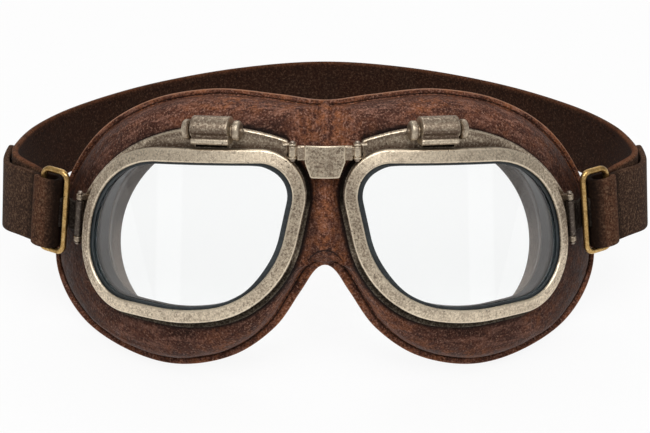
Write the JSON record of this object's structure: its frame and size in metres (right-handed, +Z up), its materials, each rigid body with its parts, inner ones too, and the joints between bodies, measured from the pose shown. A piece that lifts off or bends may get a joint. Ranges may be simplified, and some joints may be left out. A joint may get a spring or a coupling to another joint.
{
  "type": "pilot goggles",
  "caption": "Pilot goggles with curved glass in hinged metal eye frames, a padded leather mask and a folded leather head strap.",
  "frame": {"origin": "on the table under the middle of the part's box", "axes": "+X to the viewer's right across both eyes, +Y back towards the strap's far end, +Z up"},
  "size_m": [0.225, 0.1954, 0.0912],
  "materials": {
    "metal": "worn antique nickel",
    "steel": "worn",
    "brass": "tarnished",
    "glass": "clear",
    "gasket": "matte black",
    "mask": "waxed dark brown, worn edges",
    "strap": "matte dark brown",
    "foam": "grey lining"
  },
  "bodies": {
    "bridge": {"bridge_plate": "metal", "mask_nose": "mask", "strap": "strap"},
    "eye_left": {"rim_left": "metal", "gasket_left": "gasket", "lens_left": "glass", "frame_left": "metal", "retainer_left": "steel", "mask_left": "mask", "pad_left": "foam", "catch_pin_left": "metal", "bridge_pin_left": "steel", "side_pin_left": "steel"},
    "catch_left": {"catch_left": "metal"},
    "bracket_left": {"strap_bracket_left": "steel", "strap_ring_left": "brass"},
    "eye_right": {"rim_right": "metal", "gasket_right": "gasket", "lens_right": "glass", "frame_right": "metal", "retainer_right": "steel", "mask_right": "mask", "pad_right": "foam", "catch_pin_right": "metal", "bridge_pin_right": "steel", "side_pin_right": "steel"},
    "catch_right": {"catch_right": "metal"},
    "bracket_right": {"strap_bracket_right": "steel", "strap_ring_right": "brass"}
  },
  "joints": [
    {"name": "bridge_hinge_left", "type": "hinge", "parent": "bridge", "child": "eye_left", "pos_m": [-0.0101, -0.07903, 0.08163], "axis": [0, -0.3794, -0.9252], "range_deg": [-6, 10], "stiffness_Nm_per_rad": 1, "deforming": ["mask_nose", "strap"]},
    {"name": "catch_hinge_left", "type": "hinge", "parent": "eye_left", "child": "catch_left", "pos_m": [-0.03528, -0.07354, 0.08619], "axis": [-0.9648, 0.2434, -0.0998], "range_deg": [0, 100]},
    {"name": "temple_hinge_left", "type": "hinge", "parent": "eye_left", "child": "bracket_left", "pos_m": [-0.08147, -0.05934, 0.04513], "axis": [0.1045, 0.2101, 0.9721], "range_deg": [-15, 30], "stiffness_Nm_per_rad": 0.02, "deforming": ["strap"]},
    {"name": "bridge_hinge_right", "type": "hinge", "parent": "bridge", "child": "eye_right", "pos_m": [0.0101, -0.07903, 0.08163], "axis": [0, 0.3794, 0.9252], "range_deg": [-6, 10], "stiffness_Nm_per_rad": 1, "deforming": ["mask_nose", "strap"]},
    {"name": "catch_hinge_right", "type": "hinge", "parent": "eye_right", "child": "catch_right", "pos_m": [0.03528, -0.07354, 0.08619], "axis": [-0.9648, -0.2434, 0.0998], "range_deg": [0, 100]},
    {"name": "temple_hinge_right", "type": "hinge", "parent": "eye_right", "child": "bracket_right", "pos_m": [0.08147, -0.05934, 0.04513], "axis": [0.1045, -0.2101, -0.9721], "range_deg": [-15, 30], "stiffness_Nm_per_rad": 0.02, "deforming": ["strap"]}
  ]
}
